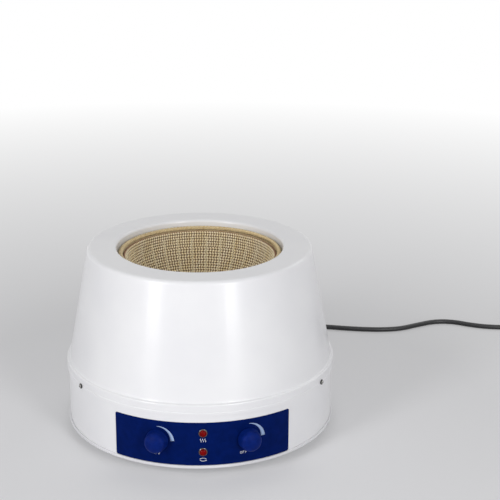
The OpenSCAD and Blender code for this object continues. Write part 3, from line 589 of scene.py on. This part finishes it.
# the ply is 0.3 mm; drawn at 1.2 mm
ply = addNode(tree, "TexWave", {"Vector": slant.outputs[0], "Scale": bandScale(1.2), "Distortion": 0.5})
addNode(tree, "ValToRGB", {"Fac": ply.outputs["Fac"]}, shader.inputs["Base Color"],
        ((0, "#E2D0A6"), (1, "#FBF2DA")))
addNode(tree, "Bump", {"Height": ply.outputs["Fac"], "Distance": 0.1 * mm, "Strength": 0.5},
        shader.inputs["Normal"])


def makeLacing():
    grids = []
    span, sides = lacing["to"] - lacing["from"], lacing["sides"]
    steps = int(span / basket["rowStep"] * lacing["pointsPerRow"])
    for n in range(lacing["count"]):
        spin = 2 * math.pi * n / lacing["count"]
        grid = []
        for i in range(steps + 1):
            # a thread dips between two rows and rides over each
            angle = lacing["from"] + span * i / steps
            beat = (basket["rowAngle"] - angle) / basket["rowStep"]
            ride = lacing["restR"] + lacing["dip"] * 0.5 * (1 - math.cos(2 * math.pi * beat))
            phi = math.radians(angle)
            thick = lacing["radius"] * (lacing["endShare"] if i in (0, steps) else 1)
            row = []
            for k in range(sides):
                psi = 2 * math.pi * k / sides
                r = ride + thick * math.cos(psi)
                x, y = r * math.sin(phi), thick * math.sin(psi)
                row.append((x * math.cos(spin) - y * math.sin(spin), x * math.sin(spin) + y * math.cos(spin),
                            basket["centreZ"] - r * math.cos(phi)))
            grid.append(row)
        cover = (math.radians(span) * lacing["restR"], lacing["girth"])
        grids.append((closeEnds(grid), False, True, cover))
    gridPiece("lacingThreads", grids, lacingGlass, "root", ("basket_lacing",))


makeLacing()

# hem: three-strand rope of the same glass yarn, sewn round the rim; lay lines catch the light
hem = {"ringR": 90.3, "z": 205.3, "strands": 3, "strandR": 1.3, "laidR": 1.2, "lay": 12.0, "sides": 8,
       "columnsPerLay": 14}
hemRope, tree, shader = startMaterial("hemRope", {"Roughness": 0.5, "IOR": 1.52, "Sheen Weight": 0.3})
point = addNode(tree, "UVMap", uv_map="yarnMillimetres").outputs[0]
tint = addNode(tree, "TexNoise", {"Vector": point, "Scale": 1 / 2.5, "Detail": 3.0})   # tones 2.5 mm wide
addNode(tree, "ValToRGB", {"Fac": tint.outputs["Fac"]}, shader.inputs["Base Color"],
        ((0.3, "#CDB17C"), (0.7, "#EBD9AC")))
slant = addNode(tree, "Mapping", {"Vector": point, "Rotation": (0, 0, math.radians(25))})
# filaments are 0.01 mm; drawn as bundles 1 mm apart
bundles = addNode(tree, "TexWave", {"Vector": slant.outputs[0], "Scale": bandScale(1), "Distortion": 1.5})
addNode(tree, "Bump", {"Height": bundles.outputs["Fac"], "Distance": 0.15 * mm, "Strength": 0.5},
        shader.inputs["Normal"])


def makeHem():
    girth = 2 * math.pi * hem["ringR"]
    turns = round(girth / hem["lay"])
    columns = turns * hem["columnsPerLay"]
    t = np.arange(columns)[:, None] / columns * 2 * math.pi
    psi = 2 * math.pi * np.arange(hem["sides"])[None, :] / hem["sides"]
    grids = []
    for strand in range(hem["strands"]):
        phase = t * turns + strand * 2 * math.pi / hem["strands"]
        across = hem["ringR"] + hem["laidR"] * np.cos(phase) + hem["strandR"] * np.cos(psi + phase)
        up = hem["laidR"] * np.sin(phase) + hem["strandR"] * np.sin(psi + phase)
        grid = np.stack([across * np.cos(t), across * np.sin(t), hem["z"] + up], -1)
        grids.append((grid, True, True, (girth, 2 * math.pi * hem["strandR"])))
    gridPiece("rimRope", grids, hemRope, "root", ("basket_hem",))


makeHem()

# liner: plain-woven glass cloth behind the rows, drawn in a little along each lacing thread
liner = {"innerR": 88.4, "outerR": 90.5, "rimZ": 202.7, "pucker": 0.3, "columns": 240, "rings": 36}
glassCloth, tree, shader = startMaterial("glassCloth", {"Roughness": 0.7, "IOR": 1.52, "Sheen Weight": 0.2})
point = addNode(tree, "UVMap", uv_map="yarnMillimetres").outputs[0]
mottle(tree, shader, addNode(tree, "TexCoord").outputs["Object"], 5, "#B0966A", "#CDB78C")
# threads are 0.5 mm apart; drawn at 1.5 mm
threads = {"Vector": point, "Scale": bandScale(1.5), "Distortion": 0.4}
warp = addNode(tree, "TexWave", threads, bands_direction="X")
weft = addNode(tree, "TexWave", threads, bands_direction="Y")
crossed = addNode(tree, "Math", {0: warp.outputs["Fac"], 1: weft.outputs["Fac"]}, operation="ADD")
addNode(tree, "Bump", {"Height": crossed.outputs[0], "Distance": 0.2 * mm, "Strength": 0.5},
        shader.inputs["Normal"])


def makeLiner():
    t = np.arange(liner["columns"]) / liner["columns"] * 2 * math.pi
    drawn = liner["pucker"] * (0.5 - 0.5 * np.cos(lacing["count"] * t))
    profile = []
    for radius, inside in ((liner["innerR"], 1), (liner["outerR"], 0)):
        rim = math.acos((basket["centreZ"] - liner["rimZ"]) / radius)
        side = [(rim * i / liner["rings"], radius, inside) for i in range(liner["rings"] + 1)]
        profile += side if inside else side[::-1]
    grid = []
    for phi, radius, inside in profile:
        r = radius + inside * drawn * math.sin(phi)
        grid.append(np.stack([r * math.sin(phi) * np.cos(t), r * math.sin(phi) * np.sin(t),
                              basket["centreZ"] - r * math.cos(phi)], -1))
    cover = (math.pi * liner["innerR"], 2 * math.pi * liner["innerR"])
    gridPiece("linerCloth", [(np.array(grid), False, True, cover)], glassCloth, "root",
              ("basket_liner",))


makeLiner()
print("basket finished")


def metal(name, dark, light, roughness, spotMm):
    # crystals and tool marks are under 0.2 mm; drawn as soft spots of spotMm
    material, tree, shader = startMaterial(name, {"Metallic": 1.0, "Roughness": roughness})
    point = addNode(tree, "TexCoord").outputs["Object"]
    spots = mottle(tree, shader, point, spotMm, dark, light)
    addNode(tree, "Bump", {"Height": spots, "Distance": 0.02 * mm, "Strength": 0.2},
            shader.inputs["Normal"])
    return material


def nonMetal(name, dark, light, roughness, grainMm, depthMm=0.05):
    # most of these have a surface texture of 0.1 mm; drawn at grainMm, in tones eight grains wide
    material, tree, shader = startMaterial(name, {"Roughness": roughness, "IOR": 1.5})
    point = addNode(tree, "TexCoord").outputs["Object"]
    mottle(tree, shader, point, grainMm * 8, dark, light)
    grain = addNode(tree, "TexNoise", {"Vector": point, "Scale": 1000 / grainMm, "Detail": 2.0})
    addNode(tree, "Bump", {"Height": grain.outputs["Fac"], "Distance": depthMm * mm, "Strength": 0.4},
            shader.inputs["Normal"])
    return material


# the three housing screws: turned steel, nickel plated and polished; painted shade and dark reflection
# darken the rim of each head
screwNickel, tree, shader = startMaterial("screwNickel", {"Metallic": 1.0, "Roughness": 0.22})
where = addNode(tree, "TexCoord")
outwards = addNode(tree, "VectorMath", {0: where.outputs["Object"], 1: (1, 1, 0)}, operation="MULTIPLY")
radial = addNode(tree, "VectorMath", {0: outwards.outputs[0]}, operation="NORMALIZE")
facing = addNode(tree, "VectorMath", {0: where.outputs["Normal"], 1: radial.outputs[0]},
                 operation="DOT_PRODUCT")
# painted shade and dark reflection: a head is dark where its surface turns away from the front, and bright
# where it faces straight out
addNode(tree, "ValToRGB", {"Fac": facing.outputs["Value"]}, shader.inputs["Base Color"],
        ((0.8, "#1E1D1C"), (0.96, "#DCDBD8")))
# polishing marks are 0.05 mm; drawn at 0.8 mm
marks = addNode(tree, "TexNoise", {"Vector": where.outputs["Object"], "Scale": 1000 / 0.8, "Detail": 2.0})
addNode(tree, "Bump", {"Height": marks.outputs["Fac"], "Distance": 0.02 * mm, "Strength": 0.2},
        shader.inputs["Normal"])
finishNodes(screwNickel, "housing_screws")
# zinc: electroplated steel, bluish grey with a faint crystal mottle
finishNodes(metal("zincSteel", "#A9ADB1", "#C2C6C9", 0.38, 2), "divider_plate", "tie_rods", "rod_nuts",
            "housing_nuts", "divider_screws", "divider_nuts", "base_screws", "base_nuts", "foot_screws",
            "foot_nuts", "pot_washers", "pot_nuts", "lamp_nuts", "motor_screws", "motor_shaft",
            "arm_set_screw", "board_screws")
# aluminium: spun or turned, with a soft machining haze
finishNodes(metal("spunAluminium", "#C3C5C8", "#D6D8DA", 0.34, 3), "inner_bowl", "heat_pot", "stir_pot",
            "heat_spindle", "stir_spindle", "magnet_arm", "heat_sink")
# pins: machined brass, warm yellow and clean
finishNodes(metal("machinedBrass", "#C9AE6C", "#DCC585", 0.24, 1), "plug_pins")
# motor can: stoved black enamel, smooth and fairly glossy
finishNodes(nonMetal("blackEnamel", "#161719", "#202123", 0.3, 0.8), "stirrer_motor")
# magnets: sintered ferrite, matt charcoal with grinding grain
finishNodes(nonMetal("sinteredFerrite", "#2B2B2E", "#38383B", 0.6, 0.4), "magnets")
# insulation: needled mineral wool, dull and matted, in tufts 1.5 mm wide
finishNodes(nonMetal("mineralWool", "#C9C2A6", "#E2DCC4", 0.95, 1.5, 0.8), "insulation")
# feet: moulded natural rubber, dull, a little chalky
finishNodes(nonMetal("footRubber", "#19191A", "#252526", 0.72, 0.8), "rubber_feet")
# strain relief: moulded soft PVC, duller than the cord
finishNodes(nonMetal("glandRubber", "#161617", "#202022", 0.55, 0.6), "cord_gland")
# plug: moulded on to the cord in the same PVC, with a finely textured grip
finishNodes(nonMetal("plugPvc", "#151517", "#1F1F22", 0.5, 0.5), "plug_body")
# fuse holder and nuts: moulded phenolic, hard and semi-gloss
finishNodes(nonMetal("blackPhenolic", "#121213", "#1B1B1C", 0.35, 0.7), "fuse_holder", "fuse_cap",
            "fuse_nut", "gland_nut")
# circuit board: glass laminate under a glossy green solder mask
finishNodes(nonMetal("solderMask", "#14532F", "#1B6A3B", 0.3, 1.2, 0.02), "circuit_board")
# component cases: moulded epoxy and polyester film, dark and satin
finishNodes(nonMetal("componentCases", "#26282C", "#34363B", 0.45, 0.8), "board_parts")
# standoffs and terminal block: moulded ivory nylon, waxy and satin
finishNodes(nonMetal("ivoryNylon", "#DDD5BC", "#E8E1CB", 0.45, 0.8), "board_standoffs", "terminal_block")
print("finishes set")

studio = {   # places and sizes in metres
    "white": "#FFFFFF", "floorSize": 14.0, "floorColour": "#DEDEE1",
    "floorWhite": (0.22, 1.0), "whiteFrom": (0.35, 1.8),   # share of plain white near and far
    "ambient": 0.34,
    "left": {"at": (-1.3, -1.39, 0.8), "aim": (0, 0, 0.15), "size": (0.45, 1.5), "watts": 16.5},
    "right": {"at": (0.89, -1.68, 0.8), "aim": (0, 0, 0.15), "size": (0.45, 1.5), "watts": 14.6},
    "top": {"at": (0.0, 0.3, 2.2), "aim": (0, 0, 0.1), "size": (1.6, 1.6), "watts": 1.2},
    "back": {"at": (1.3, 1.5, 1.6), "aim": (0, 0, 0.1), "size": (0.9, 0.9), "watts": 4.0},
}


def raysSeen(tree):
    # 1 for camera, transmission and glossy rays: what the eye and the reflections see
    rays = addNode(tree, "LightPath")
    straight = addNode(tree, "Math", {0: rays.outputs["Is Camera Ray"],
                                      1: rays.outputs["Is Transmission Ray"]}, operation="MAXIMUM")
    return addNode(tree, "Math", {0: straight.outputs[0], 1: rays.outputs["Is Glossy Ray"]},
                   operation="MAXIMUM").outputs[0]


def makeFloor():
    half = studio["floorSize"] / 2
    mesh = bpy.data.meshes.new("studioFloor")
    mesh.from_pydata([(-half, -half, 0), (half, -half, 0), (half, half, 0), (-half, half, 0)], [],
                     [(0, 1, 2, 3)])
    floor = bpy.data.objects.new("studioFloor", mesh)
    scene.collection.objects.link(floor)
    paper, tree, shader = startMaterial("studioPaper", {"Base Color": toLinear(studio["floorColour"]),
                                                        "Roughness": 0.9, "Specular IOR Level": 0.0})
    # the paper fades to white with distance, and keeps the shadow near the object
    near, far = studio["whiteFrom"]
    where = addNode(tree, "NewGeometry").outputs["Position"]
    away = addNode(tree, "VectorMath", {0: where}, operation="LENGTH").outputs["Value"]
    share = addNode(tree, "MapRange", {"Value": away, "From Min": near, "From Max": far,
                                       "To Min": studio["floorWhite"][0], "To Max": studio["floorWhite"][1]})
    seen = addNode(tree, "Math", {0: share.outputs[0], 1: raysSeen(tree)}, operation="MULTIPLY")
    plain = addNode(tree, "Emission", {"Color": toLinear(studio["white"]), "Strength": 1.0})
    addNode(tree, "MixShader", {0: seen.outputs[0], 1: shader.outputs[0], 2: plain.outputs[0]},
            tree.nodes["Material Output"].inputs["Surface"])
    mesh.materials.append(paper)


def makeLamp(name, facts):
    data = bpy.data.lights.new(name, "AREA")
    data.shape = "RECTANGLE"
    data.size, data.size_y = facts["size"]
    data.energy = facts["watts"]
    lamp = bpy.data.objects.new(name, data)
    lamp.location = facts["at"]
    aim = Vector(facts["aim"]) - Vector(facts["at"])
    lamp.rotation_euler = aim.to_track_quat("-Z", "Y").to_euler()
    lamp.visible_camera = False
    scene.collection.objects.link(lamp)


def makeWorld():
    # white for the camera and for reflections, quieter as a light
    world = bpy.data.worlds.new("studioWorld")
    world.use_nodes = True
    tree = world.node_tree
    tree.nodes.clear()
    white = addNode(tree, "Background", {"Color": toLinear(studio["white"]), "Strength": 1.0})
    soft = addNode(tree, "Background", {"Color": toLinear(studio["white"]), "Strength": studio["ambient"]})
    both = addNode(tree, "MixShader", {0: raysSeen(tree), 1: soft.outputs[0], 2: white.outputs[0]})
    addNode(tree, "OutputWorld", {"Surface": both.outputs[0]})
    scene.world = world


makeFloor()
for lampName in ("left", "right", "top", "back"):
    makeLamp(lampName + "Softbox", studio[lampName])
makeWorld()
scene.view_settings.view_transform = "Standard"
print("studio ready")
